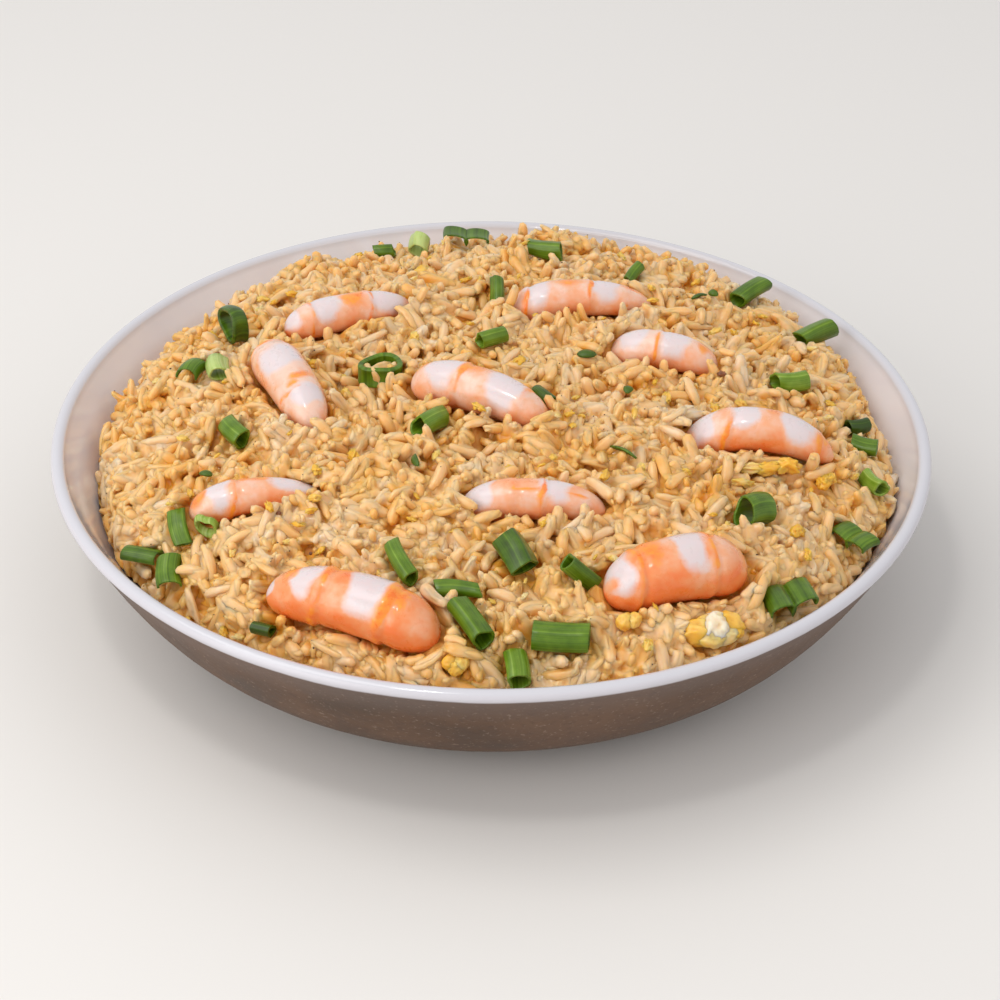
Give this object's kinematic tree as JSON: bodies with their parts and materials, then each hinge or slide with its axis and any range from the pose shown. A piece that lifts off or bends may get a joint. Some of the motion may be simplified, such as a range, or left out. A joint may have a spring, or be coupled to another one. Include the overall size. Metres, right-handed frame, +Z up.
{
  "type": "bowl of shrimp fried rice",
  "caption": "Shallow glazed bowl heaped with fried rice, topped with shrimp, cut scallion and egg; a served dish that stands on its foot ring.",
  "frame": {"origin": "centre of the bowl's foot ring, on the surface it stands on", "axes": "+Z up along the bowl's axis; -Y is the side shown nearest, +X to its right"},
  "size_m": [0.22, 0.22, 0.0637],
  "materials": {
    "glaze": "white gloss glaze inside and on the lip, speckled brown stoneware finish outside",
    "rice": "soy-coloured cooked rice grains with a light oil gloss",
    "shrimp": "cooked shrimp, white and orange-pink bands, glossy",
    "scallion": "cut green scallion with pale ends",
    "egg": "soft fried egg, yellow and white"
  },
  "bodies": {
    "root": {"bowl": "glaze", "shrimp_back_left": "shrimp", "shrimp_left": "shrimp", "shrimp_middle": "shrimp", "shrimp_back_right": "shrimp", "shrimp_right_upper": "shrimp", "shrimp_right": "shrimp", "shrimp_front_left": "shrimp", "shrimp_front_middle": "shrimp", "shrimp_near_left": "shrimp", "shrimp_near_right": "shrimp", "scallion_far_small": "scallion", "scallion_far_pale": "scallion", "scallion_far_curl": "scallion", "scallion_far_tube": "scallion", "scallion_far_right_small": "scallion", "scallion_far_right": "scallion", "scallion_right_back": "scallion", "scallion_right_inner": "scallion", "scallion_right_edge_dark": "scallion", "scallion_right_edge": "scallion", "scallion_right_edge_pale": "scallion", "scallion_right_fold": "scallion", "scallion_right_open": "scallion", "scallion_near_right_curl": "scallion", "scallion_near_tube": "scallion", "scallion_near_middle": "scallion", "scallion_near_front": "scallion", "scallion_near_front_pale": "scallion", "scallion_near_long": "scallion", "scallion_near_cross": "scallion", "scallion_near_open": "scallion", "scallion_near_left_small": "scallion", "scallion_left_upright": "scallion", "scallion_left_thin_ring": "scallion", "scallion_left_edge": "scallion", "scallion_left_arch": "scallion", "scallion_left_middle": "scallion", "scallion_left_dark": "scallion", "scallion_left_pale": "scallion", "scallion_left_ring": "scallion", "scallion_middle_ring": "scallion", "scallion_middle_tube": "scallion", "scallion_middle_strip": "scallion", "scallion_upper_small": "scallion", "scallion_upper_upright": "scallion", "egg_near_curd": "egg", "egg_near_bit": "egg", "egg_near_left_curd": "egg", "egg_right_strip": "egg", "egg_right_flake": "egg", "rice": "rice"}
  },
  "joints": []
}
